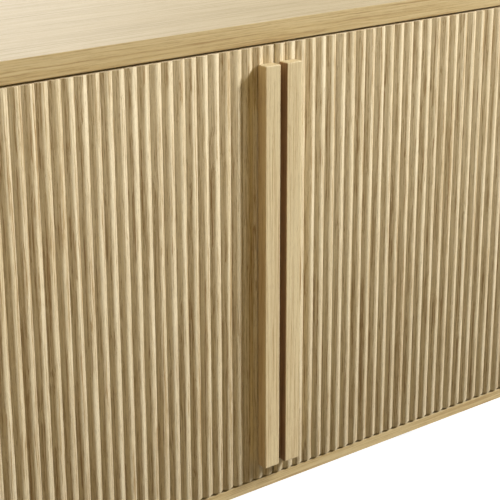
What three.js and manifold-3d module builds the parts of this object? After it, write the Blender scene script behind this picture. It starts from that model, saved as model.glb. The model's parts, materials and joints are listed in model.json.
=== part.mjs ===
// A media cabinet on legs: two bays behind four inset reeded doors, with bar handles.
// Each door turns on a pin at its top and bottom edge, close to its outer corner.
// Millimetres, +Z up, front towards -Y, origin on the floor under the middle of the whole.

import * as THREE from 'three';
import { mergeVertices } from 'three/addons/utils/BufferGeometryUtils.js';
import Module from 'manifold-3d';

const wasm = await Module();
wasm.setup();

// Reeded doors. A door's width follows from its reeds.
const reedPitch = 12.7;
const reedsPerDoor = 30;
const reedFlankSlope = 26; // degrees from the door's plane
const reedCrownRadius = 5; // rounding between the two flanks
const reedCrownSteps = 2; // flats along the rounding
const crownStand = 2; // crowns stand proud of the carcass front by this much
const doorThickness = 18; // crown to back face
const doorSeam = 2; // gap between the two doors of a pair
const doorSideGap = 2; // gap at the pivot side
const doorEndGap = 2; // gap above and below a door

// Bar handles, one along the free edge of each door.
const handleWidth = 17.7;
const handleProjection = 12;
const handleSeamInset = 3.9; // middle of the seam to the near side of the bar
const handleEndInset = 18; // opening to the end of the bar
const handleScrewInset = 48; // end of the bar to its screw
const handleScrewRadius = 2.2; // clearance bore through the door
const handlePilotRadius = 1.8;
const handlePilotDepth = 9;

// Carcass
const openingHeight = 442;
const carcassDepth = 400;
const topThickness = 20;
const bottomThickness = 11;
const sideThickness = 20;
const partitionThickness = 18;

// Back panels, let into a rebate all round and butting behind the partition.
const backThickness = 5;
const backLap = 5; // how far a back panel laps onto its neighbours
const backJointGap = 1; // between the two back panels
const cableHoleRadius = 30;
const cableHoleLevels = [0.25, 0.75]; // shares of the opening's height

// Adjustable shelves on pins
const shelfThickness = 16;
const shelfFrontSetback = 48;
const shelfBackGap = 10;
const cableNotchLength = 90;
const cableNotchDepth = 22;
const shelfPinRadius = 2.5;
const shelfPinCollar = 4; // radius
const shelfPinCollarThickness = 1.5;
const shelfPinReach = 9; // length under the shelf
const shelfPinTail = 7; // length in the panel
const pinHoleRows = 3;
const pinHolePitch = 32;
const pinColumnInset = 72; // carcass front and back to the two columns of holes

// Door pivots: a steel plate with a pin, let into the door edge, and a bush in the carcass.
const pivotInset = 10; // outer edge of the door to the pin
const pivotSetback = 7; // carcass front to the pin
const pivotPlateLength = 34;
const pivotPlateRadius = 4; // half the plate's width
const pivotPlateThickness = 2;
const pivotPinRadius = 3;
const pivotPinEngagement = 6;
const pivotRunningGap = 0.1;
const bushRadius = 5;
const bushLength = 7;

// Magnetic catches under the top, behind each seam, and their strike plates.
const catchWidth = 60;
const catchDepth = 14;
const catchHeight = 14;
const catchAirGap = 0.6;
const strikeWidth = 20;
const strikeHeight = 12;
const strikeThickness = 1.2;
const strikeSeamInset = 5; // middle of the seam to the near side of the strike plate

// Legs and glides
const legHeight = 130;
const legTopWidth = 32;
const legFootWidth = 24;
const legInset = 22; // carcass edge to the face of a corner leg at its top
const centreLegSetback = 240; // carcass front to the middle of the leg under the partition
const glideHeight = 6;
const glideRadius = 9;
const glideLip = 1.5; // bevel at the foot of a glide
const glideStemRadius = 4;
const glideStemLength = 20;

// Clearances and facets
const seatGap = 0.3; // between pieces that rest on or hold one another
const cutPast = 5; // cutters run past the faces they open
const roundSides = 24;
const smallRoundSides = 12;
const weldDistance = 1e-4; // points closer than this are one point

// Derived sizes
const doorPitchWidth = reedPitch * reedsPerDoor;
const doorWidth = doorPitchWidth - doorSeam / 2;
const doorHeight = openingHeight - 2 * doorEndGap;
const bayWidth = 2 * (doorPitchWidth + doorSideGap);
const carcassWidth = 2 * (sideThickness + bayWidth) + partitionThickness;
const handleStand = crownStand + seatGap + handleProjection;
const yFront = (handleStand - carcassDepth) / 2;
const yBack = yFront + carcassDepth;
const yDoorBack = yFront - crownStand + doorThickness;
const yBackPanel = yBack - backThickness;
const zLegFoot = glideHeight;
const zBottom = zLegFoot + legHeight;
const zOpening = zBottom + bottomThickness;
const zTop = zOpening + openingHeight;
const zRoof = zTop + topThickness;
const xWall = carcassWidth / 2 - sideThickness; // inner face of a side panel
const xPartition = partitionThickness / 2;
const seamOffset = xPartition + doorSideGap + doorPitchWidth; // centre line to a seam
const zPinRow = zOpening + (openingHeight - shelfThickness) / 2 - shelfPinRadius - seatGap;
const zShelf = zPinRow + shelfPinRadius + seatGap;
const pinHoleDepth = shelfPinTail + seatGap;
const shelfSideGap = shelfPinCollarThickness + 2 * seatGap; // leaves room for the pins' collars

// Materials
const oakVeneer = new THREE.MeshStandardMaterial({ color: 0xd8c59d, roughness: 0.55, metalness: 0 });
const reededOak = new THREE.MeshStandardMaterial({ color: 0xcdb787, roughness: 0.6, metalness: 0 });
const handleOak = new THREE.MeshStandardMaterial({ color: 0xcbb68e, roughness: 0.5, metalness: 0 });
const backBoard = new THREE.MeshStandardMaterial({ color: 0xb9a47c, roughness: 0.75, metalness: 0 });
const zincSteel = new THREE.MeshStandardMaterial({ color: 0xb4b6b8, roughness: 0.35, metalness: 1 });
const whiteNylon = new THREE.MeshStandardMaterial({ color: 0xe4e2dc, roughness: 0.5, metalness: 0 });
const catchPlastic = new THREE.MeshStandardMaterial({ color: 0x8a6f4d, roughness: 0.5, metalness: 0 });
const blackNylon = new THREE.MeshStandardMaterial({ color: 0x232322, roughness: 0.6, metalness: 0 });

const cabinet = new THREE.Group();

function toSolid(geometry) {
  const bare = geometry.clone();
  bare.deleteAttribute('normal');
  bare.deleteAttribute('uv');
  const merged = mergeVertices(bare, weldDistance);
  const vertProperties = new Float32Array(merged.attributes.position.array);
  const triVerts = new Uint32Array(merged.index.array);
  return new wasm.Manifold(new wasm.Mesh({ numProp: 3, vertProperties, triVerts }));
}

function toGeometry(solid) {
  const mesh = solid.getMesh();
  const geometry = new THREE.BufferGeometry();
  geometry.setAttribute('position', new THREE.BufferAttribute(mesh.vertProperties, 3));
  geometry.setIndex(new THREE.BufferAttribute(mesh.triVerts, 1));
  return geometry;
}

function cut(geometry, cutters) {
  let solid = toSolid(geometry);
  for (const cutter of cutters) {
    solid = solid.subtract(toSolid(cutter));
  }
  return toGeometry(solid);
}

function join(first, second) {
  return toGeometry(toSolid(first).add(toSolid(second)));
}

function boxBetween(low, high) {
  const size = new THREE.Vector3().subVectors(high, low);
  const centre = new THREE.Vector3().addVectors(low, high).multiplyScalar(0.5);
  return new THREE.BoxGeometry(size.x, size.y, size.z).translate(centre.x, centre.y, centre.z);
}

// A round bar whose axis starts at a point and runs along 'x', 'y' or 'z' by a signed length.
function roundBar(radius, length, axis, from, sides) {
  const bar = new THREE.CylinderGeometry(radius, radius, Math.abs(length), sides);
  const middle = from.clone();
  middle[axis] += length / 2;
  if (axis === 'x') {
    bar.rotateZ(Math.PI / 2);
  }
  if (axis === 'z') {
    bar.rotateX(Math.PI / 2);
  }
  return bar.translate(middle.x, middle.y, middle.z);
}

// A flat bar with round ends, lying in XY, from the middle of one end to the middle of the other.
function stadium(length, radius, thickness) {
  const straight = length - 2 * radius;
  const outline = new THREE.Shape();
  outline.moveTo(0, -radius);
  outline.lineTo(straight, -radius);
  outline.absarc(straight, 0, radius, -Math.PI / 2, Math.PI / 2, false);
  outline.lineTo(0, radius);
  outline.absarc(0, 0, radius, Math.PI / 2, Math.PI * 1.5, false);
  return new THREE.ExtrudeGeometry(outline, {
    depth: thickness,
    bevelEnabled: false,
    curveSegments: smallRoundSides / 2,
  });
}

function addPiece(name, geometry, material, x, y, z) {
  const mesh = new THREE.Mesh(geometry, material);
  mesh.name = name;
  mesh.position.set(x, y, z);
  cabinet.add(mesh);
}

// A panel given by two corners, with cutters given in the same place as the panel.
function addPanel(name, material, low, high, cutters) {
  const centre = new THREE.Vector3().addVectors(low, high).multiplyScalar(0.5);
  const geometry = cut(boxBetween(low, high), cutters);
  geometry.translate(-centre.x, -centre.y, -centre.z);
  addPiece(name, geometry, material, centre.x, centre.y, centre.z);
}

// The four doors. Side is +1 where the pivot is on the left of the door and -1 on the right.
const doors = [
  { place: 'outer_left', edge: -xWall + doorSideGap, side: 1 },
  { place: 'inner_left', edge: -xPartition - doorSideGap, side: -1 },
  { place: 'inner_right', edge: xPartition + doorSideGap, side: 1 },
  { place: 'outer_right', edge: xWall - doorSideGap, side: -1 },
];

const bays = [
  { place: 'left', side: -1 },
  { place: 'right', side: 1 },
];

// The space that the two back panels fill, with the seat gap all round.
function backSpace() {
  const reach = xWall + backLap + seatGap;
  return boxBetween(
    new THREE.Vector3(-reach, yBackPanel - seatGap, zOpening - backLap - seatGap),
    new THREE.Vector3(reach, yBack + cutPast, zTop + backLap + seatGap),
  );
}

// Blind bores for the bushes, upwards into the top or downwards into the bottom.
function bushBores(zFace, direction) {
  return doors.map(({ edge, side }) => {
    const mouth = new THREE.Vector3(
      edge + side * pivotInset,
      yFront + pivotSetback,
      zFace - direction * cutPast,
    );
    const length = direction * (cutPast + bushLength + seatGap);
    return roundBar(bushRadius + seatGap, length, 'z', mouth, roundSides);
  });
}

function shelfPinLevels() {
  const levels = [];
  for (let row = 0; row < pinHoleRows; row += 1) {
    levels.push(zPinRow + (row - (pinHoleRows - 1) / 2) * pinHolePitch);
  }
  return levels;
}

const pinColumns = [yFront + pinColumnInset, yBack - pinColumnInset];

// Blind holes for the shelf pins in the face at x, drilled in the given direction along X.
function pinHoles(x, direction) {
  const holes = [];
  for (const y of pinColumns) {
    for (const z of shelfPinLevels()) {
      const mouth = new THREE.Vector3(x - direction * cutPast, y, z);
      const length = direction * (cutPast + pinHoleDepth);
      holes.push(roundBar(shelfPinRadius + seatGap, length, 'x', mouth, smallRoundSides));
    }
  }
  return holes;
}

function addTopPanel() {
  const low = new THREE.Vector3(-carcassWidth / 2, yFront, zTop);
  const high = new THREE.Vector3(carcassWidth / 2, yBack, zRoof);
  addPanel('top_panel', oakVeneer, low, high, [backSpace(), ...bushBores(zTop, 1)]);
}

function addBottomPanel() {
  const low = new THREE.Vector3(-carcassWidth / 2, yFront, zBottom);
  const high = new THREE.Vector3(carcassWidth / 2, yBack, zOpening);
  addPanel('bottom_panel', oakVeneer, low, high, [backSpace(), ...bushBores(zOpening, -1)]);
}

function addSidePanels() {
  for (const { place, side } of bays) {
    const inner = side * xWall;
    const outer = side * (carcassWidth / 2);
    const low = new THREE.Vector3(Math.min(inner, outer), yFront, zOpening + seatGap);
    const high = new THREE.Vector3(Math.max(inner, outer), yBack, zTop - seatGap);
    addPanel(`${place}_side`, oakVeneer, low, high, [backSpace(), ...pinHoles(inner, side)]);
  }
}

function addPartition() {
  const low = new THREE.Vector3(-xPartition, yFront, zOpening + seatGap);
  const high = new THREE.Vector3(xPartition, yBackPanel - seatGap, zTop - seatGap);
  const holes = bays.flatMap(({ side }) => pinHoles(side * xPartition, -side));
  addPanel('centre_partition', oakVeneer, low, high, holes);
}

function addBackPanels() {
  for (const { place, side } of bays) {
    const inner = side * (backJointGap / 2);
    const outer = side * (xWall + backLap);
    const low = new THREE.Vector3(Math.min(inner, outer), yBackPanel, zOpening - backLap);
    const high = new THREE.Vector3(Math.max(inner, outer), yBack, zTop + backLap);
    const holes = cableHoleLevels.map((share) => {
      const mouth = new THREE.Vector3(
        side * seamOffset,
        yBackPanel - cutPast,
        zOpening + share * openingHeight,
      );
      return roundBar(cableHoleRadius, backThickness + 2 * cutPast, 'y', mouth, roundSides);
    });
    addPanel(`back_panel_${place}`, backBoard, low, high, holes);
  }
}

function addShelves() {
  for (const { place, side } of bays) {
    const near = side * (xPartition + shelfSideGap);
    const far = side * (xWall - shelfSideGap);
    const yShelfBack = yBackPanel - shelfBackGap;
    const low = new THREE.Vector3(Math.min(near, far), yFront + shelfFrontSetback, zShelf);
    const high = new THREE.Vector3(Math.max(near, far), yShelfBack, zShelf + shelfThickness);
    const notch = stadium(cableNotchLength, cableNotchDepth, shelfThickness + 2 * cutPast);
    const straight = cableNotchLength - 2 * cableNotchDepth;
    notch.translate(side * seamOffset - straight / 2, yShelfBack, zShelf - cutPast);
    addPanel(`shelf_${place}`, oakVeneer, low, high, [notch]);
  }
}

// A shelf pin along +X, with its collar's back face at the origin.
function shelfPinGeometry() {
  const profile = [
    new THREE.Vector2(0, -shelfPinTail),
    new THREE.Vector2(shelfPinRadius, -shelfPinTail),
    new THREE.Vector2(shelfPinRadius, 0),
    new THREE.Vector2(shelfPinCollar, 0),
    new THREE.Vector2(shelfPinCollar, shelfPinCollarThickness),
    new THREE.Vector2(shelfPinRadius, shelfPinCollarThickness),
    new THREE.Vector2(shelfPinRadius, shelfPinReach),
    new THREE.Vector2(0, shelfPinReach),
  ];
  return new THREE.LatheGeometry(profile, smallRoundSides).rotateZ(-Math.PI / 2);
}

function addShelfPins() {
  for (const { place, side } of bays) {
    let number = 0;
    for (const wall of [side * xPartition, side * xWall]) {
      const inward = Math.abs(wall) < xWall ? side : -side;
      for (const y of pinColumns) {
        number += 1;
        const pin = shelfPinGeometry();
        if (inward < 0) {
          pin.rotateZ(Math.PI);
        }
        const x = wall + inward * seatGap;
        addPiece(`shelf_pin_${place}_${number}`, pin, zincSteel, x, y, zPinRow);
      }
    }
  }
}

// A reed has two straight flanks, which meet its neighbours' in sharp grooves, and a round crown.
const flankAngle = THREE.MathUtils.degToRad(reedFlankSlope);
const crownReach = reedCrownRadius * Math.sin(flankAngle); // crown line to the start of a flank

// How far the reeded face lies behind the crowns, at a distance from the door's pivot edge.
function reedFall(across) {
  const fromCrown = Math.abs((across % reedPitch) - reedPitch / 2);
  if (fromCrown < crownReach) {
    return reedCrownRadius - Math.sqrt(reedCrownRadius ** 2 - fromCrown ** 2);
  }
  const crownFall = reedCrownRadius * (1 - Math.cos(flankAngle));
  return crownFall + (fromCrown - crownReach) * Math.tan(flankAngle);
}

// Distances from a reed's first groove to the points of its outline.
function reedPoints() {
  const points = [0];
  for (let step = 0; step <= reedCrownSteps; step += 1) {
    const angle = flankAngle * ((2 * step) / reedCrownSteps - 1);
    points.push(reedPitch / 2 + reedCrownRadius * Math.sin(angle));
  }
  return points;
}

// The door's plan: a flat back and a row of reeds, with the last one cut short at the seam.
function doorOutline(side) {
  const outline = new THREE.Shape();
  outline.moveTo(0, doorThickness - crownStand);
  for (let reed = 0; reed < reedsPerDoor; reed += 1) {
    for (const point of reedPoints()) {
      const across = reed * reedPitch + point;
      outline.lineTo(side * across, reedFall(across) - crownStand);
    }
  }
  outline.lineTo(side * doorWidth, reedFall(doorWidth) - crownStand);
  outline.lineTo(side * doorWidth, doorThickness - crownStand);
  return outline;
}

// Where the bar and its screws sit, measured from the door's pivot edge.
const handleMiddle = doorPitchWidth - handleSeamInset - handleWidth / 2;
const handleLength = openingHeight - 2 * handleEndInset;
const zHandle = zOpening + handleEndInset;
const handleScrewLevels = [handleScrewInset, handleLength - handleScrewInset];

function pivotPlate(side, growth, thickness) {
  const plate = stadium(pivotPlateLength + 2 * growth, pivotPlateRadius + growth, thickness);
  return side > 0 ? plate : plate.rotateZ(Math.PI);
}

function addDoors() {
  const zDoor = zOpening + doorEndGap;
  for (const { place, edge, side } of doors) {
    const slab = new THREE.ExtrudeGeometry(doorOutline(side), {
      depth: doorHeight,
      bevelEnabled: false,
    });
    const mortiseDepth = pivotPlateThickness + seatGap;
    const mortises = [-cutPast, doorHeight - mortiseDepth].map((z) => {
      const mortise = pivotPlate(side, seatGap, mortiseDepth + cutPast);
      return mortise.translate(side * pivotInset, pivotSetback, z);
    });
    const bores = handleScrewLevels.map((level) => {
      const mouth = new THREE.Vector3(
        side * handleMiddle,
        -crownStand - cutPast,
        zHandle + level - zDoor,
      );
      return roundBar(handleScrewRadius, doorThickness + 2 * cutPast, 'y', mouth, smallRoundSides);
    });
    const geometry = cut(slab, [...mortises, ...bores]);
    addPiece(`door_${place}`, geometry, reededOak, edge, yFront, zDoor);
  }
}

function addHandles() {
  const yBarBack = yFront - crownStand - seatGap;
  for (const { place, edge, side } of doors) {
    const bar = new THREE.BoxGeometry(handleWidth, handleProjection, handleLength);
    const pilots = handleScrewLevels.map((level) => {
      const mouth = new THREE.Vector3(0, handleProjection / 2 + cutPast, level - handleLength / 2);
      const length = -(cutPast + handlePilotDepth);
      return roundBar(handlePilotRadius, length, 'y', mouth, smallRoundSides);
    });
    const x = edge + side * handleMiddle;
    const z = zHandle + handleLength / 2;
    addPiece(`handle_${place}`, cut(bar, pilots), handleOak, x, yBarBack - handleProjection / 2, z);
  }
}

// A pivot: the plate lies under its pin, which points up the axis from the plate's outer face.
function addPivots() {
  const pinLength = doorEndGap + pivotPinEngagement + pivotPlateThickness / 2;
  for (const { place, edge, side } of doors) {
    for (const end of ['top', 'bottom']) {
      const plate = pivotPlate(side, 0, pivotPlateThickness);
      const pinStart = new THREE.Vector3(0, 0, pivotPlateThickness / 2);
      const pivot = join(plate, roundBar(pivotPinRadius, pinLength, 'z', pinStart, roundSides));
      let z = zTop - doorEndGap - pivotPlateThickness;
      if (end === 'bottom') {
        pivot.rotateX(Math.PI);
        z = zOpening + doorEndGap + pivotPlateThickness;
      }
      const x = edge + side * pivotInset;
      addPiece(`pivot_${place}_${end}`, pivot, zincSteel, x, yFront + pivotSetback, z);
    }
  }
}

function addBushes() {
  const bore = pivotPinRadius + pivotRunningGap;
  const profile = [
    new THREE.Vector2(bore, 0),
    new THREE.Vector2(bushRadius, 0),
    new THREE.Vector2(bushRadius, bushLength),
    new THREE.Vector2(bore, bushLength),
    new THREE.Vector2(bore, 0),
  ];
  for (const { place, edge, side } of doors) {
    for (const end of ['top', 'bottom']) {
      const bush = new THREE.LatheGeometry(profile, roundSides).rotateX(Math.PI / 2);
      const x = edge + side * pivotInset;
      const z = end === 'top' ? zTop : zOpening - bushLength;
      addPiece(`bush_${place}_${end}`, bush, whiteNylon, x, yFront + pivotSetback, z);
    }
  }
}

function addCatches() {
  const yStrike = yDoorBack + seatGap;
  const yCatch = yStrike + strikeThickness + catchAirGap;
  const zCatch = zTop - seatGap - catchHeight / 2;
  for (const { place, side } of bays) {
    const housing = new THREE.BoxGeometry(catchWidth, catchDepth, catchHeight);
    addPiece(`catch_${place}`, housing, catchPlastic, side * seamOffset, yCatch + catchDepth / 2, zCatch);
  }
  for (const { place, edge, side } of doors) {
    const plate = new THREE.BoxGeometry(strikeWidth, strikeThickness, strikeHeight);
    const x = edge + side * (doorPitchWidth - strikeSeamInset - strikeWidth / 2);
    addPiece(`strike_${place}`, plate, zincSteel, x, yStrike + strikeThickness / 2, zCatch);
  }
}

// A square leg that narrows to its foot, bored for the stem of a glide.
function legGeometry() {
  const height = legHeight - seatGap;
  const leg = new THREE.CylinderGeometry(
    legTopWidth / Math.SQRT2,
    legFootWidth / Math.SQRT2,
    height,
    4,
  );
  leg.rotateX(Math.PI / 2).rotateZ(Math.PI / 4).translate(0, 0, height / 2);
  const mouth = new THREE.Vector3(0, 0, -cutPast);
  const length = cutPast + glideStemLength + seatGap;
  const bore = roundBar(glideStemRadius + seatGap, length, 'z', mouth, smallRoundSides);
  return cut(leg, [bore]);
}

function glideGeometry() {
  const rim = glideHeight - seatGap;
  const profile = [
    new THREE.Vector2(0, 0),
    new THREE.Vector2(glideRadius - glideLip, 0),
    new THREE.Vector2(glideRadius, glideLip),
    new THREE.Vector2(glideRadius, rim),
    new THREE.Vector2(glideStemRadius, rim),
    new THREE.Vector2(glideStemRadius, glideHeight + glideStemLength),
    new THREE.Vector2(0, glideHeight + glideStemLength),
  ];
  return new THREE.LatheGeometry(profile, roundSides).rotateX(Math.PI / 2);
}

// A leg at each corner, and one under the partition that takes the load of the middle.
function addLegs() {
  const xCorner = carcassWidth / 2 - legInset - legTopWidth / 2;
  const yFrontRow = yFront + legInset + legTopWidth / 2;
  const yBackRow = yBack - legInset - legTopWidth / 2;
  const legs = [
    { place: 'front_left', x: -xCorner, y: yFrontRow },
    { place: 'front_right', x: xCorner, y: yFrontRow },
    { place: 'back_left', x: -xCorner, y: yBackRow },
    { place: 'back_right', x: xCorner, y: yBackRow },
    { place: 'centre', x: 0, y: yFront + centreLegSetback },
  ];
  for (const { place, x, y } of legs) {
    addPiece(`leg_${place}`, legGeometry(), handleOak, x, y, zLegFoot);
    addPiece(`glide_${place}`, glideGeometry(), blackNylon, x, y, 0);
  }
}

addTopPanel();
addBottomPanel();
addSidePanels();
addPartition();
addBackPanels();
addShelves();
addShelfPins();
addDoors();
addHandles();
addPivots();
addBushes();
addCatches();
addLegs();

export default cabinet;
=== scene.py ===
import json
import math

import bmesh
import bpy
from mathutils import Matrix, Vector

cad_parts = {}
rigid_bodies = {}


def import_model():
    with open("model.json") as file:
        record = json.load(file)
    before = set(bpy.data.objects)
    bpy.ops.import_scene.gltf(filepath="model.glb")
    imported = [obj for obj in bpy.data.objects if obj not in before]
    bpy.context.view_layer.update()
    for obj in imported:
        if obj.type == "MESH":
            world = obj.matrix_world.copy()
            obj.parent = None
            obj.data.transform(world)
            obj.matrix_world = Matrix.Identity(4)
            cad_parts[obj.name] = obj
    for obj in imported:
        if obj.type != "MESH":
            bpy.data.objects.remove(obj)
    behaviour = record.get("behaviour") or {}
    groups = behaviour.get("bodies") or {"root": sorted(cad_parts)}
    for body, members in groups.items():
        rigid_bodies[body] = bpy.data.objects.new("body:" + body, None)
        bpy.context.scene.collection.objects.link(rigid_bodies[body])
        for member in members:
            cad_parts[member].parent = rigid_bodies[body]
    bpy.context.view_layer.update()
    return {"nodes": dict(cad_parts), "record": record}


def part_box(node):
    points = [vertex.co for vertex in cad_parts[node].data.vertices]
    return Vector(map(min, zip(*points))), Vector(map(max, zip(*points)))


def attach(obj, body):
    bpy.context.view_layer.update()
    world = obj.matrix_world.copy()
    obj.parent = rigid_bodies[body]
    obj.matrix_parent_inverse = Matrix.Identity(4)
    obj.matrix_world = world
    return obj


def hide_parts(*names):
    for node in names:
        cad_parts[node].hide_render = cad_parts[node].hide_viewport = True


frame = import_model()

mm = 0.001  # sizes below are in metres, written as so many mm
near = 0.01 * mm  # points closer than this are in one place
weld = 0.001 * mm
cutPast = 5 * mm  # cutters run past the faces they open
screwPlay = 0.1 * mm  # between a flat screw's head and its hole
mostly, squarely = 0.7, 0.9  # how far a face's normal has to lie along an axis
flatNormal = 0.9999
bevelAngle, smoothAngle = math.radians(40), math.radians(35)

bodies = frame["record"]["behaviour"]["bodies"]
bodyOf = {node: body for body, nodes in bodies.items() for node in nodes}
doorPlaces = ["outer_left", "inner_left", "inner_right", "outer_right"]
seamX = (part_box("door_outer_left")[1].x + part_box("door_inner_left")[0].x) / 2
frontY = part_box("top_panel")[0].y
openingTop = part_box("top_panel")[0].z


def clearSelection():
    for thing in bpy.context.scene.objects:
        thing.select_set(False)


def takeUp(piece):
    clearSelection()
    piece.select_set(True)
    bpy.context.view_layer.objects.active = piece


def applyPlace():
    bpy.ops.object.transform_apply(location=True, rotation=True, scale=True)


def startEdit(piece):
    takeUp(piece)
    bpy.ops.object.mode_set(mode="EDIT")
    bpy.ops.mesh.select_mode(type="VERT")
    bpy.ops.mesh.select_all(action="DESELECT")


def endEdit():
    bpy.ops.object.mode_set(mode="OBJECT")


def pickFaces(piece, test):  # test takes a face's middle and normal
    bpy.ops.mesh.select_mode(type="FACE")
    mesh = bmesh.from_edit_mesh(piece.data)
    for face in mesh.faces:
        face.select_set(test(face.calc_center_median(), face.normal))
    bmesh.update_edit_mesh(piece.data)


def pickEdges(piece, test):  # test takes an edge's two ends
    bpy.ops.mesh.select_mode(type="EDGE")
    mesh = bmesh.from_edit_mesh(piece.data)
    for edge in mesh.edges:
        edge.select_set(test(edge.verts[0].co, edge.verts[1].co))
    bmesh.update_edit_mesh(piece.data)


def pickPoints(piece, test):
    bpy.ops.mesh.select_mode(type="VERT")
    mesh = bmesh.from_edit_mesh(piece.data)
    for point in mesh.verts:
        point.select_set(test(point.co))
    mesh.select_flush_mode()
    bmesh.update_edit_mesh(piece.data)


def turnOutwards(piece):
    startEdit(piece)
    bpy.ops.mesh.select_all(action="SELECT")
    bpy.ops.mesh.remove_doubles(threshold=weld)
    bpy.ops.mesh.normals_make_consistent(inside=False)
    endEdit()


def applyModifier(piece, kind, settings):
    takeUp(piece)
    modifier = piece.modifiers.new(kind, kind)
    for key, value in settings.items():
        setattr(modifier, key, value)
    bpy.ops.object.modifier_apply(modifier=modifier.name)


def smoothRounds(piece):
    takeUp(piece)
    bpy.ops.object.shade_smooth_by_angle(angle=smoothAngle)
    for face in piece.data.polygons:  # faces square to an axis keep a plain normal
        if max(abs(part) for part in face.normal) > flatNormal:
            face.use_smooth = False


def breakEdges(piece, width, segments=2):
    settings = {"width": width, "segments": segments, "limit_method": "ANGLE", "angle_limit": bevelAngle}
    applyModifier(piece, "BEVEL", settings)
    smoothRounds(piece)


def addBlock(name, low, high):
    low, high = Vector(low), Vector(high)
    clearSelection()
    bpy.ops.mesh.primitive_cube_add(size=1, location=(low + high) / 2, scale=high - low)
    block = bpy.context.object
    block.name = name
    applyPlace()
    return block


def addRound(name, radius, start, end, sides):  # a cylinder between two points
    start, end = Vector(start), Vector(end)
    clearSelection()
    turn = (end - start).to_track_quat("Z", "Y").to_euler()
    bpy.ops.mesh.primitive_cylinder_add(
        vertices=sides, radius=radius, depth=(end - start).length, location=(start + end) / 2, rotation=turn
    )
    bar = bpy.context.object
    bar.name = name
    applyPlace()
    return bar


def startFromPoint(name, spot):  # a plane merged to one point, which is left selected in edit mode
    clearSelection()
    bpy.ops.mesh.primitive_plane_add(size=1 * mm, location=spot)
    piece = bpy.context.object
    piece.name = name
    applyPlace()
    startEdit(piece)
    bpy.ops.mesh.select_all(action="SELECT")
    bpy.ops.mesh.merge(type="CENTER")
    bpy.ops.mesh.select_all(action="SELECT")
    return piece


def joinAll(pieces, name):
    takeUp(pieces[0])
    for piece in pieces[1:]:
        piece.select_set(True)
    if len(pieces) > 1:
        bpy.ops.object.join()
    pieces[0].name = name
    return pieces[0]


def carve(piece, cutters):
    cutter = joinAll(cutters, "cutter")
    applyModifier(piece, "BOOLEAN", {"object": cutter, "operation": "DIFFERENCE", "solver": "EXACT"})
    bpy.data.objects.remove(cutter)


def copyPiece(piece, name, move=(0, 0, 0), flip=False):  # flip mirrors it in x = 0 before the move
    takeUp(piece)
    bpy.ops.object.duplicate(linked=False)
    twin = bpy.context.object
    twin.name = name
    twin.location = move
    twin.scale.x = -1 if flip else 1
    applyPlace()
    if flip:
        turnOutwards(twin)
    return twin


def copyOfNode(node, name):  # a merged copy of a CAD node with its flat faces made whole
    piece = bpy.data.objects.new(name, frame["nodes"][node].data.copy())
    bpy.context.scene.collection.objects.link(piece)
    piece.data.materials.clear()
    startEdit(piece)
    bpy.ops.mesh.select_all(action="SELECT")
    bpy.ops.mesh.remove_doubles(threshold=near)
    bpy.ops.mesh.dissolve_limited(angle_limit=math.radians(1))
    bpy.ops.mesh.normals_make_consistent(inside=False)
    endEdit()
    return piece


def paint(piece, *materials):
    piece.data.materials.clear()
    for material in materials:
        piece.data.materials.append(material)


def paintWhere(piece, index, test):  # gives the faces that pass a test another of the piece's materials
    for face in piece.data.polygons:
        if test(face.center, face.normal):
            face.material_index = index


def settle(piece, body, slot, *nodes):
    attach(piece, body)
    if nodes:
        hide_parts(*nodes)


def onEachDoor(piece, name, slot, node=None):  # piece is modelled on the outer left door
    moves = {
        "outer_left": ((0, 0, 0), False),
        "inner_left": ((2 * seamX, 0, 0), True),
        "inner_right": ((-2 * seamX, 0, 0), False),
        "outer_right": ((0, 0, 0), True),
    }
    for place in doorPlaces:
        move, flip = moves[place]
        twin = copyPiece(piece, f"{name}_{place}", move, flip)
        replaced = [f"{node}_{place}"] if node else []
        settle(twin, bodyOf[f"door_{place}"], slot, *replaced)
    bpy.data.objects.remove(piece)


cameraSettings = {
    "fromSeamTop": (-875.1 * mm, -1072.1 * mm, 278.4 * mm),  # top of the left pair's seam to the camera
    "turn": 38.274,  # degrees towards +X
    "tilt": 19.148,  # degrees down
    "roll": 0.146,
    "lens": 109.74,  # this and the sensor's width are in mm
    "sensor": 36,
    "nearest": 10 * mm,
}


def addCamera():
    bpy.ops.object.camera_add()
    camera = bpy.context.object
    camera.name = "camera"
    place = Vector((seamX, frontY, openingTop)) + Vector(cameraSettings["fromSeamTop"])
    turn = Matrix.Rotation(-math.radians(cameraSettings["turn"]), 4, "Z")
    tilt = Matrix.Rotation(math.radians(90 - cameraSettings["tilt"]), 4, "X")
    roll = Matrix.Rotation(-math.radians(cameraSettings["roll"]), 4, "Z")
    camera.matrix_world = Matrix.Translation(place) @ turn @ tilt @ roll
    camera.data.lens = cameraSettings["lens"]
    camera.data.sensor_width = cameraSettings["sensor"]
    camera.data.clip_start = cameraSettings["nearest"]
    bpy.context.scene.camera = camera


aimHeight = 0.7  # share of the height of the opening's top
lights = {
    # angle from the front towards +X, angle above the floor, distance, size and power
    "key": {"around": 58, "up": 35, "away": 5.0, "size": 1.4, "power": 365, "colour": (1, 1, 0.985)},
    "front": {"around": -5, "up": 15, "away": 4.5, "size": 3.0, "power": 46, "colour": (1, 0.73, 0.27)},
    "side": {"around": -86, "up": 18, "away": 4.5, "size": 2.4, "power": 38, "colour": (1, 0.68, 0.36)},
    "top": {"around": 10, "up": 82, "away": 3.5, "size": 2.4, "power": 8, "colour": (1, 1, 1)},
    "back": {"around": 165, "up": 14, "away": 5.0, "size": 3.0, "power": 150, "colour": (1, 0.99, 0.97)},
}


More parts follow.
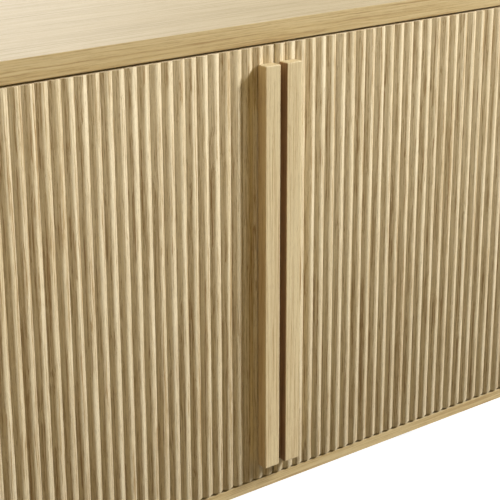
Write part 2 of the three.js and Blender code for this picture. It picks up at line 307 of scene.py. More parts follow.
def addLights():
    aim = Vector((seamX / 2, frontY, openingTop * aimHeight))
    for name, light in lights.items():
        around, up = math.radians(light["around"]), math.radians(light["up"])
        towards = Vector((math.sin(around) * math.cos(up), -math.cos(around) * math.cos(up), math.sin(up)))
        bpy.ops.object.light_add(type="AREA", location=aim + towards * light["away"])
        lamp = bpy.context.object
        lamp.name = f"light_{name}"
        lamp.rotation_euler = towards.to_track_quat("Z", "Y").to_euler()
        lamp.data.shape = "DISK"
        lamp.data.size = light["size"]
        lamp.data.energy = light["power"]
        lamp.data.color = light["colour"]


worldColour = (0.93, 0.93, 0.93, 1)


def addWorld():
    world = bpy.data.worlds.new("studio")
    bpy.context.scene.world = world
    world.use_nodes = True
    world.node_tree.nodes["Background"].inputs["Color"].default_value = worldColour
    world.cycles_visibility.diffuse = False  # seen and reflected, but the lamps alone light the cabinet
    bpy.context.scene.view_settings.view_transform = "Standard"


class Wire:  # an output of a node; arithmetic on it adds Math nodes
    def __init__(self, finish, socket):
        self.finish = finish
        self.socket = socket

    def maths(self, operation, first, second=0.0):
        return self.finish.add("Math", {"operation": operation}, {0: first, 1: second})

    def __add__(self, other):
        return self.maths("ADD", self, other)

    def __radd__(self, other):
        return self.maths("ADD", other, self)

    def __sub__(self, other):
        return self.maths("SUBTRACT", self, other)

    def __rsub__(self, other):
        return self.maths("SUBTRACT", other, self)

    def __mul__(self, other):
        return self.maths("MULTIPLY", self, other)

    def __rmul__(self, other):
        return self.maths("MULTIPLY", other, self)

    def __truediv__(self, other):
        return self.maths("DIVIDE", self, other)

    def __rtruediv__(self, other):
        return self.maths("DIVIDE", other, self)

    def __gt__(self, other):
        return self.maths("GREATER_THAN", self, other)

    def __lt__(self, other):
        return self.maths("LESS_THAN", self, other)

    def __abs__(self):
        return self.maths("ABSOLUTE", self)

    def floored(self):
        return self.maths("FLOOR", self)

    def fraction(self):
        return self.maths("FRACT", self)


class Finish:  # a material being built
    def __init__(self, name):
        self.material = bpy.data.materials.new(name)
        self.material.use_nodes = True
        self.tree = self.material.node_tree
        self.tree.nodes.clear()

    def add(self, kind, settings=None, sockets=None, output=0):
        node = self.tree.nodes.new("ShaderNode" + kind)
        for key, value in (settings or {}).items():
            if key == "stops":
                self.setStops(node.color_ramp, value)
            else:
                setattr(node, key, value)
        for key, value in (sockets or {}).items():
            if isinstance(value, Wire):
                self.tree.links.new(value.socket, node.inputs[key])
            else:
                node.inputs[key].default_value = value
        return Wire(self, node.outputs[output]) if node.outputs else None

    def setStops(self, ramp, stops):
        while len(ramp.elements) < len(stops):
            ramp.elements.new(0.5)
        for element, (place, colour) in zip(ramp.elements, stops):
            element.position = place
            element.color = (*colour, 1)

    def inMillimetres(self):
        spot = self.add("TexCoord", output="Object")
        return self.add("VectorMath", {"operation": "SCALE"}, {0: spot, "Scale": 1 / mm})

    def stretched(self, spot, sizes):  # sizes are the pattern's length along x, y and z
        return self.add("VectorMath", {"operation": "MULTIPLY"}, {0: spot, 1: [1 / size for size in sizes]})

    def moved(self, spot, by):
        return self.add("VectorMath", {"operation": "ADD"}, {0: spot, 1: by})

    def noise(self, spot, sizes, detail=2.0, rough=0.5):
        sockets = {"Vector": self.stretched(spot, sizes), "Scale": 1.0, "Detail": detail, "Roughness": rough}
        return self.add("TexNoise", {}, sockets)

    def between(self, value, low, high):  # 0 below low, 1 above high, smooth in the middle
        sockets = {"Value": value, "From Min": low, "From Max": high}
        return self.add("MapRange", {"interpolation_type": "SMOOTHSTEP"}, sockets)

    def blend(self, share, first, second):
        first, second = (c if isinstance(c, Wire) else (*c, 1) for c in (first, second))
        return self.add("Mix", {"data_type": "RGBA"}, {0: share, 6: first, 7: second}, output=2)

    def ramp(self, value, places, colours):
        return self.add("ValToRGB", {"stops": list(zip(places, colours))}, {0: value})

    def bump(self, height, distance):
        return self.add("Bump", {}, {"Height": height, "Distance": distance, "Strength": 1.0})

    def close(self, sockets):
        shader = self.add("BsdfPrincipled", {}, sockets)
        self.add("OutputMaterial", {}, {"Surface": shader})
        return self.material


def alongAxis(axis, along, across):
    return [along if letter == axis else across for letter in "xyz"]


grain = {
    # each pattern's length along the grain and width across it, in mm
    "wander": (70, 9), "fibres": (22, 0.55), "waves": (38, 4.0), "pores": (8, 0.22), "rays": (5, 1.1),
    "broadLength": 420, "linesLength": 150,
    # where each pattern begins and ends
    "tones": (0.35, 0.45, 0.57), "streaked": (0.51, 0.38), "blushed": (0.4, 0.7),
    "pored": (0.58, 0.72), "rayed": (0.62, 0.75),
    # how much of each pattern shows
    "broadShare": 0.3, "fibreShare": 0.4, "blush": 0.3, "ray": 0.16,
    "lineHeight": 0.25, "fibreHeight": 0.35, "poreRoughness": 0.12, "fibreRoughness": 0.1,
}


def addOak(name, axis, oak, spot=None, finish=None, paintedShade=None):
    # oak grain along one axis: broad tone, growth lines that wander, pores and pale rays
    finish = finish or Finish(name)
    spot = spot or finish.inMillimetres()

    def pattern(key, place, detail, rough=0.5):
        return finish.noise(place, alongAxis(axis, *grain[key]), detail, rough)
    sideways = (pattern("wander", spot, 2.0) - 0.5) * oak["wander"]
    offset = finish.add("CombineXYZ", {}, {"xyz".index(way): sideways for way in "xyz" if way != axis})
    bent = finish.moved(spot, offset)
    broad = finish.noise(spot, alongAxis(axis, grain["broadLength"], oak["broad"]))
    lines = finish.noise(bent, alongAxis(axis, grain["linesLength"], oak["lines"]), detail=4.0, rough=0.62)
    fibres = pattern("fibres", bent, 3.0, 0.6)
    waves = pattern("waves", spot, 1.0)
    pores = finish.between(pattern("pores", bent, 1.0), *grain["pored"])
    rays = finish.between(pattern("rays", bent, 1.0), *grain["rayed"])
    tone = broad * grain["broadShare"] + lines * (1 - grain["broadShare"])
    colour = finish.ramp(tone, grain["tones"], [oak["dark"], oak["middle"], oak["light"]])
    streaks = finish.between(
        lines * (1 - grain["fibreShare"]) + fibres * grain["fibreShare"], *grain["streaked"]
    )
    colour = finish.blend(streaks * oak["streaks"], colour, oak["streak"])
    colour = finish.blend(finish.between(fibres, *grain["blushed"]) * grain["blush"], colour, oak["blush"])
    colour = finish.blend(rays * grain["ray"], colour, oak["light"])
    colour = finish.blend(pores * oak["pores"], colour, oak["pore"])
    # painted shade, where one is given, darkens the grain towards the streak colour
    if paintedShade is not None:
        colour = finish.blend(paintedShade, colour, oak["streak"])
    height = lines * grain["lineHeight"] + fibres * grain["fibreHeight"] - pores + waves * oak["waves"]
    matt = pores * grain["poreRoughness"] + (fibres - 0.5) * grain["fibreRoughness"]
    return finish.close({
        "Base Color": colour,
        "Roughness": oak["roughness"] + matt,
        "Specular IOR Level": oak["gloss"],
        "Normal": finish.bump(height, oak["relief"]),
    })


reedOak = {
    "dark": (0.47, 0.345, 0.17), "middle": (0.655, 0.555, 0.358), "light": (0.775, 0.685, 0.485),
    "streak": (0.29, 0.175, 0.065), "blush": (0.735, 0.575, 0.4), "pore": (0.33, 0.215, 0.1),
    "streaks": 0.76, "pores": 0.55, "broad": 15, "lines": 1.7, "wander": 5.0,
    "roughness": 0.58, "gloss": 0.15, "relief": 0.1 * mm, "waves": 4.0,
}
handleOak = {
    "dark": (0.57, 0.44, 0.24), "middle": (0.69, 0.565, 0.33), "light": (0.77, 0.66, 0.415),
    "streak": (0.46, 0.31, 0.14), "blush": (0.74, 0.57, 0.36), "pore": (0.42, 0.29, 0.14),
    "streaks": 0.6, "pores": 0.5, "broad": 12, "lines": 1.7, "wander": 2.5,
    "roughness": 0.5, "gloss": 0.35, "relief": 0.1 * mm, "waves": 1.0,
}
paintedShadeOak = {  # the sides of two bars that face each other across the seam, darkened as painted shade
    "dark": (0.35, 0.217, 0.11), "middle": (0.445, 0.29, 0.16), "light": (0.515, 0.36, 0.21),
    "streak": (0.25, 0.143, 0.07), "blush": (0.48, 0.31, 0.18), "pore": (0.24, 0.136, 0.07),
    "streaks": 0.6, "pores": 0.5, "broad": 12, "lines": 1.7, "wander": 2.5,
    "roughness": 0.5, "gloss": 0.35, "relief": 0.1 * mm, "waves": 1.0,
}
faceOak = {
    "dark": (0.43, 0.335, 0.175), "middle": (0.51, 0.41, 0.235), "light": (0.57, 0.47, 0.285),
    "streak": (0.37, 0.275, 0.135), "blush": (0.54, 0.42, 0.265), "pore": (0.34, 0.25, 0.13),
    "streaks": 0.3, "pores": 0.3, "broad": 30, "lines": 3.0, "wander": 3.0,
    "roughness": 0.6, "gloss": 0.3, "relief": 0.05 * mm, "waves": 0.0,
}
edgeOak = {
    "dark": (0.42, 0.295, 0.12), "middle": (0.55, 0.42, 0.195), "light": (0.635, 0.51, 0.275),
    "streak": (0.37, 0.235, 0.09), "blush": (0.63, 0.455, 0.225), "pore": (0.35, 0.225, 0.09),
    "streaks": 0.65, "pores": 0.4, "broad": 9, "lines": 1.4, "wander": 2.0,
    "roughness": 0.52, "gloss": 0.35, "relief": 0.06 * mm, "waves": 0.6,
}


reedFinish = {
    "spread": (40, 90, 700),  # mm that one reed's grain may lie from another's
    "otherSide": 57,  # added to the numbers of the reeds right of the middle
    # painted shade in the grooves: where it starts and how dark it gets
    "paintedShadeStart": 0.45,  # from the crown, as a share of the pitch
    "paintedShadeStrength": 0.5,
}


def addReedOak():
    # each reed has its own stretch of grain, and the grooves between them are darkened as painted shade
    finish = Finish("reeded oak")
    spot = finish.inMillimetres()
    across = finish.add("SeparateXYZ", {}, {0: spot})
    pitch, edge = reedPitch() / mm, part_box("door_inner_right")[0].x / mm
    fromEdge = (abs(across) - edge) / pitch
    number = fromEdge.floored() + (across > 0.0) * reedFinish["otherSide"]
    random = finish.add("TexWhiteNoise", {"noise_dimensions": "1D"}, {"W": number})
    spread = reedFinish["spread"]
    shift = finish.add("CombineXYZ", {}, {way: random * most for way, most in enumerate(spread)})
    fromCrown = abs(fromEdge.fraction() - 0.5)
    paintedGrooveShade = finish.between(fromCrown, reedFinish["paintedShadeStart"], 0.5) * reedFinish["paintedShadeStrength"]
    return addOak("reeded oak", "z", reedOak, finish.moved(spot, shift), finish, paintedGrooveShade)


endGrainFinish = {
    "rings": (9, 1.4, 30), "tones": (0.32, 0.5, 0.68), "pores": (0.5, 0.4, 4), "pored": (0.52, 0.66),
    "poreShare": 0.5, "poreRoughness": 0.15, "ringHeight": 0.3,
    "roughness": 0.62, "gloss": 0.3, "relief": 0.08 * mm,
}


def addEndGrain(name, oak):
    look = endGrainFinish
    finish = Finish(name)
    spot = finish.inMillimetres()
    rings = finish.noise(spot, look["rings"], detail=3.0)
    pores = finish.between(finish.noise(spot, look["pores"], detail=1.0), *look["pored"])
    colour = finish.ramp(rings, look["tones"], [oak["dark"], oak["middle"], oak["light"]])
    return finish.close({
        "Base Color": finish.blend(pores * look["poreShare"], colour, oak["pore"]),
        "Roughness": look["roughness"] + pores * look["poreRoughness"],
        "Specular IOR Level": look["gloss"],
        "Normal": finish.bump(rings * look["ringHeight"] - pores, look["relief"]),
    })


boardFinish = {
    "dark": (0.46, 0.35, 0.21), "middle": (0.56, 0.45, 0.29), "light": (0.62, 0.51, 0.34),
    "speck": (0.4, 0.3, 0.18), "specked": (0.5, 0.75), "speckShare": 0.2, "tones": (0.36, 0.5, 0.64),
    "lines": (3, 3, 220), "lineShare": 0.6, "cloud": (80, 80, 140), "grit": (0.7, 0.7, 0.9),
    "roughness": 0.66, "gritRoughness": 0.12, "relief": 0.05 * mm,
}


def addBackBoard():
    # a printed hardboard: a plain tan face with a faint oak print and the press's fine grit
    look = boardFinish
    finish = Finish("back board")
    spot = finish.inMillimetres()
    lines = finish.noise(spot, look["lines"], detail=4.0)
    cloud = finish.noise(spot, look["cloud"])
    grit = finish.noise(spot, look["grit"])
    tone = lines * look["lineShare"] + cloud * (1 - look["lineShare"])
    colour = finish.ramp(tone, look["tones"], [look["dark"], look["middle"], look["light"]])
    specks = finish.between(grit, *look["specked"]) * look["speckShare"]
    return finish.close({
        "Base Color": finish.blend(specks, colour, look["speck"]),
        "Roughness": look["roughness"] + grit * look["gritRoughness"],
        "Normal": finish.bump(grit, look["relief"]),
    })


zincFinish = {
    "bright": (0.55, 0.56, 0.57), "dull": (0.45, 0.44, 0.4), "dulled": (0.45, 0.7), "dullShare": 0.5,
    "bloom": (4, 4, 4), "scratch": (9, 0.25, 0.25),
    "roughness": 0.26, "dullRoughness": 0.14, "scratchRoughness": 0.12, "relief": 0.01 * mm,
}


def addZinc():
    look = zincFinish
    finish = Finish("zinc plated steel")
    spot = finish.inMillimetres()
    scratch = finish.noise(spot, look["scratch"])
    worn = finish.between(finish.noise(spot, look["bloom"], detail=3.0), *look["dulled"])
    matt = worn * look["dullRoughness"] + scratch * look["scratchRoughness"]
    return finish.close({
        "Base Color": finish.blend(worn * look["dullShare"], look["bright"], look["dull"]),
        "Metallic": 1.0,
        "Roughness": look["roughness"] + matt,
        "Normal": finish.bump(scratch, look["relief"]),
    })


plastics = {
    "white nylon": {"colour": (0.76, 0.75, 0.71), "marked": (0.68, 0.66, 0.60), "roughness": 0.45},
    "black nylon": {"colour": (0.018, 0.018, 0.019), "marked": (0.03, 0.03, 0.032), "roughness": 0.5},
    "catch plastic": {"colour": (0.25, 0.16, 0.08), "marked": (0.20, 0.125, 0.06), "roughness": 0.42},
}
mouldFinish = {
    "grain": (0.35, 0.35, 0.35), "flow": (7, 5, 9), "marked": (0.35, 0.75), "markShare": 0.6,
    "flowRoughness": 0.15, "relief": 0.02 * mm,
}


def addPlastic(name):
    # moulded: a spark-eroded grain and faint flow marks
    plastic, look = plastics[name], mouldFinish
    finish = Finish(name)
    spot = finish.inMillimetres()
    flow = finish.noise(spot, look["flow"])
    marks = finish.between(flow, *look["marked"]) * look["markShare"]
    return finish.close({
        "Base Color": finish.blend(marks, plastic["colour"], plastic["marked"]),
        "Roughness": plastic["roughness"] + (flow - 0.5) * look["flowRoughness"],
        "Normal": finish.bump(finish.noise(spot, look["grain"]), look["relief"]),
    })


floorSettings = {
    "size": 60, "drop": 0.3 * mm, "cloud": (900, 900, 900),
    "dark": (0.38, 0.38, 0.378), "light": (0.41, 0.41, 0.408), "roughness": 0.8, "glow": 0.96,
}


def addFloorPaint():
    finish = Finish("floor")
    cloud = finish.noise(finish.inMillimetres(), floorSettings["cloud"])
    return finish.close({
        "Base Color": finish.blend(cloud, floorSettings["dark"], floorSettings["light"]),
        "Roughness": floorSettings["roughness"],
        "Emission Color": (1, 1, 1, 1),
        "Emission Strength": floorSettings["glow"],
    })


def addFloor():
    bpy.ops.mesh.primitive_plane_add(size=floorSettings["size"], location=(0, 0, -floorSettings["drop"]))
    floor = bpy.context.object
    floor.name = "floor"
    applyPlace()
    paint(floor, addFloorPaint())
    floor.visible_diffuse = False  # it shows white without lighting the cabinet from below


doorSettings = {
    "reeds": 30,
    "flankSlope": 26,  # degrees from the door's plane
    "crownRadius": 5 * mm,
    "crownSteps": 8,
    "arris": 0.5 * mm,  # rounding of the upright edges
    "arrisSteps": 2,
    "endRounding": [(0.15 * mm, 0.35 * mm), (0.35 * mm, 0.15 * mm)],  # inwards and outwards, twice
    "mortisePlay": 0.3 * mm,
    "screwBore": 2.2 * mm,  # radius
    "boreSides": 24,
    "screwInset": 48 * mm,  # end of the handle to its screw
}


def reedPitch():
    return (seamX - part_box("door_outer_left")[0].x) / doorSettings["reeds"]


def handleScrewSpots():
    low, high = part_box("handle_outer_left")
    middle = (low.x + high.x) / 2
    inset = doorSettings["screwInset"]
    return [(middle, low.z + inset), (middle, high.z - inset)]


def modelDoor():
    low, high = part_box("door_outer_left")
    pitch, radius = reedPitch(), doorSettings["crownRadius"]
    slope = math.radians(doorSettings["flankSlope"])
    flankRun = pitch / 2 - radius * math.sin(slope)
    flankFall = flankRun * math.tan(slope)
    crownFall = radius * (1 - math.cos(slope))
    rise = sum(step[1] for step in doorSettings["endRounding"])

    # one reed's crown is spun from a point, drawn out along its two flanks, and then repeated
    door = startFromPoint("door", (low.x + flankRun, low.y + crownFall, low.z + rise))
    centre = (low.x + pitch / 2, low.y + radius, low.z + rise)
    bpy.ops.mesh.spin(steps=doorSettings["crownSteps"], angle=2 * slope, center=centre, axis=(0, 0, -1))
    for x, run in [(low.x + flankRun, -flankRun), (low.x + pitch - flankRun, flankRun)]:
        pickPoints(door, lambda p: abs(p.x - x) < near)
        bpy.ops.mesh.extrude_vertices_move(TRANSFORM_OT_translate={"value": (run, flankFall, 0)})
    endEdit()
    applyModifier(door, "ARRAY", {
        "count": doorSettings["reeds"],
        "use_relative_offset": False,
        "use_constant_offset": True,
        "constant_offset_displace": (pitch, 0, 0),
        "use_merge_vertices": True,
        "merge_threshold": near,
    })

    # the outline is closed round the back, filled and drawn up to the door's height
    startEdit(door)
    first, last = low.x, low.x + pitch * doorSettings["reeds"]
    pickPoints(door, lambda p: min(abs(p.x - first), abs(p.x - last)) < near)
    back = high.y - low.y - crownFall - flankFall
    bpy.ops.mesh.extrude_vertices_move(TRANSFORM_OT_translate={"value": (0, back, 0)})
    bpy.ops.mesh.edge_face_add()
    bpy.ops.mesh.select_all(action="SELECT")
    bpy.ops.mesh.edge_face_add()
    bpy.ops.mesh.extrude_region_move(TRANSFORM_OT_translate={"value": (0, 0, high.z - low.z - 2 * rise)})
    bpy.ops.mesh.select_all(action="SELECT")
    bpy.ops.mesh.normals_make_consistent(inside=False)

    # the last reed is trimmed at the seam
    bpy.ops.mesh.bisect(plane_co=(high.x, 0, 0), plane_no=(1, 0, 0), use_fill=True, clear_outer=True)

    # upright arrises and end roundings
    def upright(a, b):
        corner = min(abs(a.x - low.x), abs(a.x - high.x)) < near
        return corner and abs(a.x - b.x) < near and abs(a.y - b.y) < near
    pickEdges(door, upright)
    bpy.ops.mesh.bevel(offset=doorSettings["arris"], segments=doorSettings["arrisSteps"], affect="EDGES")
    for inwards, outwards in doorSettings["endRounding"]:
        heights = [point.co.z for point in bmesh.from_edit_mesh(door.data).verts]
        ends = min(heights), max(heights)
        pickFaces(door, lambda m, n: min(abs(m.z - end) for end in ends) < near)
        bpy.ops.mesh.inset(thickness=inwards, depth=outwards, use_individual=True)
    endEdit()

    # mortises for the pivot plates, and bores for the handle's screws
    play, bore, sides = (doorSettings[key] for key in ["mortisePlay", "screwBore", "boreSides"])
    topLow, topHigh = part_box("pivot_outer_left_top")
    bottomLow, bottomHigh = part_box("pivot_outer_left_bottom")
    spots = [
        (topLow, topHigh, topLow.z - play, high.z + cutPast),
        (bottomLow, bottomHigh, low.z - cutPast, bottomHigh.z + play),
    ]
    cutters = [
        addStadium("mortise", (least.x - play, least.y - play, floor), (most.x + play, most.y + play, roof))
        for least, most, floor, roof in spots
    ]
    for x, z in handleScrewSpots():
        cutters.append(addRound("bore", bore, (x, low.y - cutPast, z), (x, high.y + cutPast, z), sides))
    carve(door, cutters)
    smoothRounds(door)
    return door


stadiumSettings = {"endRadius": 0.4995, "segments": 8}  # a share of the width, just under half


def addStadium(name, low, high):  # an upright bar with round ends, long along X
    bar = addBlock(name, low, high)
    radius = (high[1] - low[1]) * stadiumSettings["endRadius"]
    startEdit(bar)
    pickEdges(bar, lambda a, b: abs(a.z - b.z) > near)
    bpy.ops.mesh.bevel(offset=radius, segments=stadiumSettings["segments"], affect="EDGES")
    endEdit()
    return bar


handleSettings = {"rounding": 0.9 * mm, "segments": 3}


def modelHandle():
    bar = addBlock("handle", *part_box("handle_outer_left"))
    breakEdges(bar, handleSettings["rounding"], handleSettings["segments"])
    return bar


screwSettings = {
    "headRadius": 4.2 * mm,
    "headHeight": 2.2 * mm,
    "dome": 1.5 * mm,
    "domeSteps": 5,
    "shankRadius": 1.7 * mm,
    "recessLength": 4.4 * mm,
    "recessWidth": 1.0 * mm,
    "recessDepth": 1.4 * mm,
    "sides": 32,
    "grip": 6 * mm,  # length of the shank in the handle
}


def modelPanScrew(spot, shank):  # its head sits at spot and faces +Y, its shank runs towards -Y
    size = screwSettings
    seat = Vector(spot)
    top = seat + Vector((0, size["headHeight"], 0))
    screw = addRound("screw", size["headRadius"], seat, top, size["sides"])
    startEdit(screw)
    pickEdges(screw, lambda a, b: min(a.y, b.y) > top.y - near)
    bpy.ops.mesh.bevel(offset=size["dome"], segments=size["domeSteps"], affect="EDGES")
    pickFaces(screw, lambda m, n: n.y < -squarely)
    bpy.ops.mesh.inset(thickness=size["headRadius"] - size["shankRadius"])
    bpy.ops.mesh.extrude_region_move(TRANSFORM_OT_translate={"value": (0, -shank, 0)})
    endEdit()
    long, wide, deep = size["recessLength"] / 2, size["recessWidth"] / 2, size["recessDepth"]
    slots = [
        addBlock("slot", top + Vector((-x, -deep, -z)), top + Vector((x, cutPast, z)))
        for x, z in [(long, wide), (wide, long)]
    ]
    for slot in slots:
        carve(screw, [slot])
    smoothRounds(screw)
    return screw


def addHandleScrews():
    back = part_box("door_outer_left")[1].y
    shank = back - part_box("handle_outer_left")[1].y + screwSettings["grip"]
    screws = [modelPanScrew((x, back, z), shank) for x, z in handleScrewSpots()]
    both = joinAll(screws, "screws")
    paint(both, zinc)
    onEachDoor(both, "handle_screws", "zinc_steel")


carcassSettings = {"arris": 0.5 * mm}


def finishPanel(node, face, edge, edgeTest):
    piece = copyOfNode(node, f"finished_{node}")
    breakEdges(piece, carcassSettings["arris"])
    paint(piece, face, edge)
    paintWhere(piece, 1, edgeTest)
    settle(piece, "carcass", "oak_veneer", node)


def addCarcass():
    uprights = ["left_side", "right_side", "centre_partition"]
    for node in ["top_panel", "bottom_panel", *uprights, "shelf_left", "shelf_right"]:
        if node in uprights:
            finishPanel(node, oakUpright, edgeUpright, lambda m, n: abs(n.y) > mostly)
        else:
            finishPanel(node, oakAcross, edgeAcross, lambda m, n: abs(n.z) < mostly)


legSettings = {"arris": 1.6 * mm, "segments": 3}


def addLegs():
    for node in [n for n in frame["nodes"] if n.startswith("leg_")]:
        leg = copyOfNode(node, f"finished_{node}")
        breakEdges(leg, legSettings["arris"], legSettings["segments"])
        paint(leg, oakLeg, endGrain)
        paintWhere(leg, 1, lambda m, n: abs(n.z) > mostly)
        settle(leg, "carcass", "leg_oak", node)


def turned(name, outline, sides):  # an outline of (radius, height) points spun round +Z
    piece = startFromPoint(name, (outline[0][0], 0, outline[0][1]))
    for (radius, height), (nextRadius, nextHeight) in zip(outline, outline[1:]):
        step = (nextRadius - radius, 0, nextHeight - height)
        bpy.ops.mesh.extrude_vertices_move(TRANSFORM_OT_translate={"value": step})
    bpy.ops.mesh.select_all(action="SELECT")
    bpy.ops.mesh.spin(steps=sides, angle=2 * math.pi, center=(0, 0, 0), axis=(0, 0, 1))
    endEdit()
    turnOutwards(piece)
    return piece


def placed(piece, spot, towards=(0, 0, 1)):  # moves a turned piece so that its +Z points the given way
    takeUp(piece)
    piece.location = spot
    piece.rotation_euler = Vector(towards).to_track_quat("Z", "Y").to_euler()
    applyPlace()
    return piece


glideSettings = {
    "radius": 9 * mm,
    "foot": 5.7 * mm,  # height of the nylon foot
    "lip": 1.5 * mm,  # height of the rounding at the floor
    "lipMiddle": (0.6 * mm, 0.375 * mm),  # in from the side and up from the floor
    "bevel": 0.9 * mm,
    "neck": 3.6 * mm,  # radius under the thread
    "crest": 4 * mm,
    "root": 3.44 * mm,
    "tip": 3.2 * mm,
    "pitch": 1.25 * mm,
    "runIn": 0.125 * mm,  # foot to the first ridge
    "sides": 32,
}


def addGlides():
    size = glideSettings
    radius, foot, lip, bevel, pitch = (size[key] for key in ["radius", "foot", "lip", "bevel", "pitch"])
    inwards, upwards = size["lipMiddle"]
    for node in [n for n in frame["nodes"] if n.startswith("glide_")]:
        low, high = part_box(node)
        top = high.z - low.z
        outline = [
            (0, 0), (radius - lip, 0), (radius - inwards, upwards), (radius, lip),
            (radius, foot - bevel), (radius - bevel, foot), (size["neck"], foot),
        ]
        for turn in range(int((top - foot) / pitch)):  # the thread is a stack of ridges
            base = foot + size["runIn"] + turn * pitch
            outline += [(size["root"], base), (size["crest"], base + pitch / 2)]
        outline += [(size["tip"], top), (0, top)]
        spot = ((low.x + high.x) / 2, (low.y + high.y) / 2, low.z)
        glide = placed(turned(f"finished_{node}", outline, size["sides"]), spot)
        smoothRounds(glide)
        paint(glide, blackNylon, zinc)
        paintWhere(glide, 1, lambda m, n: m.z > low.z + foot + near)
        settle(glide, "carcass", "black_nylon", node)


pinSettings = {
    "radius": 2.5 * mm,
    "collar": 4 * mm,  # radius
    "collarThickness": 1.5 * mm,
    "tail": 7 * mm,  # length in the panel
    "rounding": 0.35 * mm,
    "tipRounding": 0.7 * mm,
    "sides": 24,
}


def addShelfPins():
    size = pinSettings
    radius, collar, tail, soft, tip = (
        size[key] for key in ["radius", "collar", "tail", "rounding", "tipRounding"]
    )
    shoulder = tail + size["collarThickness"]
    for node in [n for n in frame["nodes"] if n.startswith("shelf_pin_")]:
        low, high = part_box(node)
        length = high.x - low.x
        outline = [
            (0, 0), (radius - soft, 0), (radius, soft), (radius, tail),
            (collar - soft, tail), (collar, tail + soft),
            (collar, shoulder - soft), (collar - soft, shoulder), (radius, shoulder),
            (radius, length - tip), (radius - tip, length), (0, length),
        ]
        # a pin sits in the nearer wall of its shelf
        shelfLow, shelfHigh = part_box("shelf_" + node.split("_")[2])
        inwards = 1 if low.x < (shelfLow.x + shelfHigh.x) / 2 else -1
        wallEnd = (low.x if inwards > 0 else high.x, (low.y + high.y) / 2, (low.z + high.z) / 2)
        pin = placed(turned(f"finished_{node}", outline, size["sides"]), wallEnd, (inwards, 0, 0))
        smoothRounds(pin)
        paint(pin, zinc)
        settle(pin, "carcass", "zinc_steel", node)


flatScrewSides = 24
flatScrew = {
    "head": 3.4 * mm,  # radius, as the shank's and the tip's are
    "shank": 1.6 * mm,
    "tip": 0.64 * mm,
    "taper": 3.2 * mm,  # length of the pointed end
    "cone": 1.8 * mm,  # face to shank
    "rim": 0.1 * mm,
    "recess": 1.0 * mm,  # depth
    "arm": 1.9 * mm,  # middle to the end of the recess
    "armHalf": 0.416 * mm,  # half the arm's width
}


def modelFlatScrew(spot, towards, length, scale):  # a countersunk screw, its head facing the given way
    size = {key: value * scale for key, value in flatScrew.items()}
    outline = [
        (0, -length), (size["tip"], -length), (size["shank"], -length + size["taper"]),
        (size["shank"], -size["cone"]), (size["head"], -size["rim"]), (size["head"], 0), (0, 0),
    ]
    screw = turned("screw", outline, flatScrewSides)
    arm, half, deep = size["arm"], size["armHalf"], size["recess"]
    for x, y in [(arm, half), (half, arm)]:
        carve(screw, [addBlock("slot", (-x, -y, -deep), (x, y, deep))])
    smoothRounds(screw)
    return placed(screw, spot, towards)


def screwRow(model, spots):  # copies a screw that is modelled at the origin to each spot
    copies = [copyPiece(model, "screw", spot) for spot in spots]
    bpy.data.objects.remove(model)
    return joinAll(copies, "screws")


backSettings = {
    "arris": 0.3 * mm,
    "edgeToScrew": 2.5 * mm,
    "spacing": 115 * mm,  # at most, from screw to screw
    "screwLength": 11 * mm,
    "screwScale": 0.58,
    "sinkDepth": 1.5 * mm,
    "sinkSides": 20,
    "headDepth": 0.15 * mm,  # board's face to the screw's
}


def evenly(start, end, spacing):  # evenly spread places between two ends
    count = math.ceil((end - start) / spacing)
    return [start + (step + 0.5) * (end - start) / count for step in range(count)]


def addBacks():
    size = backSettings
    for side in ["left", "right"]:
        low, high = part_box(f"back_panel_{side}")
        panel = copyOfNode(f"back_panel_{side}", f"finished_back_panel_{side}")
        breakEdges(panel, size["arris"], 1)
        inset = size["edgeToScrew"]
        outer = low.x + inset if side == "left" else high.x - inset
        columns = evenly(low.x, high.x, size["spacing"])
        rows = evenly(low.z, high.z, size["spacing"])
        spots = [(x, high.y, z) for x in columns for z in (low.z + inset, high.z - inset)]
        spots += [(outer, high.y, z) for z in rows]
        radius = flatScrew["head"] * size["screwScale"] + screwPlay
        sinks = [
            addRound("sink", radius, (x, y - size["sinkDepth"], z), (x, y + cutPast, z), size["sinkSides"])
            for x, y, z in spots
        ]
        carve(panel, sinks)
        smoothRounds(panel)
        paint(panel, backBoard)
        settle(panel, "carcass", "back_board", f"back_panel_{side}")
        model = modelFlatScrew((0, 0, 0), (0, 1, 0), size["screwLength"], size["screwScale"])
        screws = screwRow(model, [(x, y - size["headDepth"], z) for x, y, z in spots])
        screws.name = f"back_screws_{side}"
        paint(screws, zinc)
        settle(screws, "carcass", "zinc_steel")


strikeSettings = {
    "corner": 2 * mm,
    "cornerSteps": 5,
    "arris": 0.2 * mm,
    "holeSides": 24,
    "screwScale": 0.8,
    "screwLength": 11 * mm,
    "headDepth": 0.05 * mm,  # plate's face to the screw's
}


def addStrikes():
    size = strikeSettings
    low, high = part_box("strike_outer_left")
    plate = addBlock("plate", low, high)
    startEdit(plate)
    pickEdges(plate, lambda a, b: abs(a.y - b.y) > near)
    bpy.ops.mesh.bevel(offset=size["corner"], segments=size["cornerSteps"], affect="EDGES")
    endEdit()
    x, z = (low.x + high.x) / 2, (low.z + high.z) / 2
    radius = flatScrew["head"] * size["screwScale"] + screwPlay
    ends = (x, low.y - cutPast, z), (x, high.y + cutPast, z)
    carve(plate, [addRound("hole", radius, *ends, size["holeSides"])])
    breakEdges(plate, size["arris"], 1)
    paint(plate, zinc)
    onEachDoor(plate, "strike_plate", "zinc_steel", "strike")
    spot = (x, high.y - size["headDepth"], z)
    screw = modelFlatScrew(spot, (0, 1, 0), size["screwLength"], size["screwScale"])
    paint(screw, zinc)
    onEachDoor(screw, "strike_screw", "zinc_steel")


catchSettings = {
    "rounding": 1.6 * mm,
    "segments": 3,
    "wall": 2.2 * mm,
    "recess": 1.6 * mm,  # depth of the two windows
    "pole": 1.3 * mm,
    "poleArris": 0.2 * mm,
    "poleInset": 0.25 * mm,  # edge of the window to a pole
    "poleFront": 0.3 * mm,  # front of the housing to the pole's
    "poleBack": 1.58 * mm,  # just clear of the window's floor
}


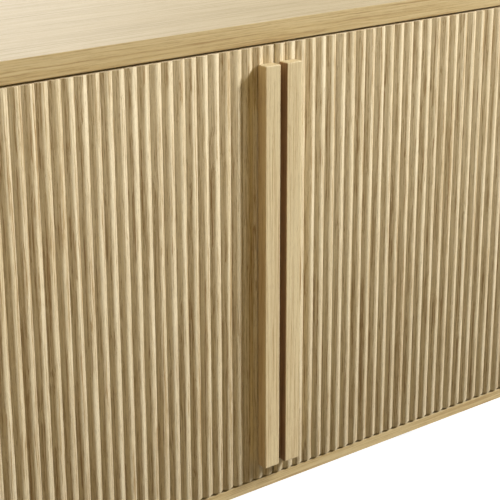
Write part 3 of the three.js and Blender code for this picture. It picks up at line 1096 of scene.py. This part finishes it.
def addCatches():
    size = catchSettings
    wall, inset = size["wall"], size["poleInset"]
    for side in ["left", "right"]:
        low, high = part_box(f"catch_{side}")
        housing = addBlock(f"finished_catch_{side}", low, high)
        breakEdges(housing, size["rounding"], size["segments"])
        middle = (low.x + high.x) / 2
        floor, roof = low.z + wall, high.z - wall
        windows, steels = [], []
        for start, end in [(low.x + wall, middle - wall / 2), (middle + wall / 2, high.x - wall)]:
            windowLow = (start, low.y - cutPast, floor)
            windowHigh = (end, low.y + size["recess"], roof)
            windows.append(addBlock("window", windowLow, windowHigh))
            for z in [floor + inset, roof - inset - size["pole"]]:
                front = (start + inset, low.y + size["poleFront"], z)
                back = (end - inset, low.y + size["poleBack"], z + size["pole"])
                pole = addBlock("pole", front, back)
                breakEdges(pole, size["poleArris"], 1)
                steels.append(pole)
        carve(housing, windows)
        smoothRounds(housing)
        paint(housing, catchPlastic)
        settle(housing, "carcass", "catch_plastic", f"catch_{side}")
        poles = joinAll(steels, f"catch_poles_{side}")
        paint(poles, zinc)
        settle(poles, "carcass", "zinc_steel")


pivotSettings = {"arris": 0.25 * mm, "bushArris": 0.4 * mm}


def addPivots():
    for node in [n for n in frame["nodes"] if n.startswith(("pivot_", "bush_"))]:
        isPivot = node.startswith("pivot_")
        piece = copyOfNode(node, f"finished_{node}")
        breakEdges(piece, pivotSettings["arris" if isPivot else "bushArris"], 2)
        paint(piece, zinc if isPivot else whiteNylon)
        settle(piece, bodyOf[node], "zinc_steel" if isPivot else "white_nylon", node)


print("camera, light and floor")
addCamera()
addWorld()
addLights()
addFloor()

print("finishes")
oakReeds = addReedOak()
oakHandle = addOak("handle oak", "z", handleOak)
oakPaintedShade = addOak("handle oak with painted shade", "z", paintedShadeOak)
oakLeg = addOak("leg oak", "z", handleOak)
oakAcross = addOak("veneer, grain across", "x", faceOak)
oakUpright = addOak("veneer, grain upright", "z", faceOak)
edgeAcross = addOak("edge band, grain across", "x", edgeOak)
edgeUpright = addOak("edge band, grain upright", "z", edgeOak)
endGrain = addEndGrain("end grain", handleOak)
backBoard = addBackBoard()
zinc = addZinc()
whiteNylon = addPlastic("white nylon")
blackNylon = addPlastic("black nylon")
catchPlastic = addPlastic("catch plastic")

print("doors")
door = modelDoor()
paint(door, oakReeds)
onEachDoor(door, "reeded_door", "reeded_oak", "door")

print("handles")
handle = modelHandle()
paint(handle, oakHandle, endGrain, oakPaintedShade)
paintWhere(handle, 1, lambda m, n: abs(n.z) > squarely)
paintWhere(handle, 2, lambda m, n: n.x > squarely)  # towards the seam: painted shade
onEachDoor(handle, "bar_handle", "handle_oak", "handle")
addHandleScrews()

print("carcass")
addCarcass()

print("legs")
addLegs()

print("backs, pins, catches and pivots")
addBacks()
addShelfPins()
addGlides()
addCatches()
addStrikes()
addPivots()
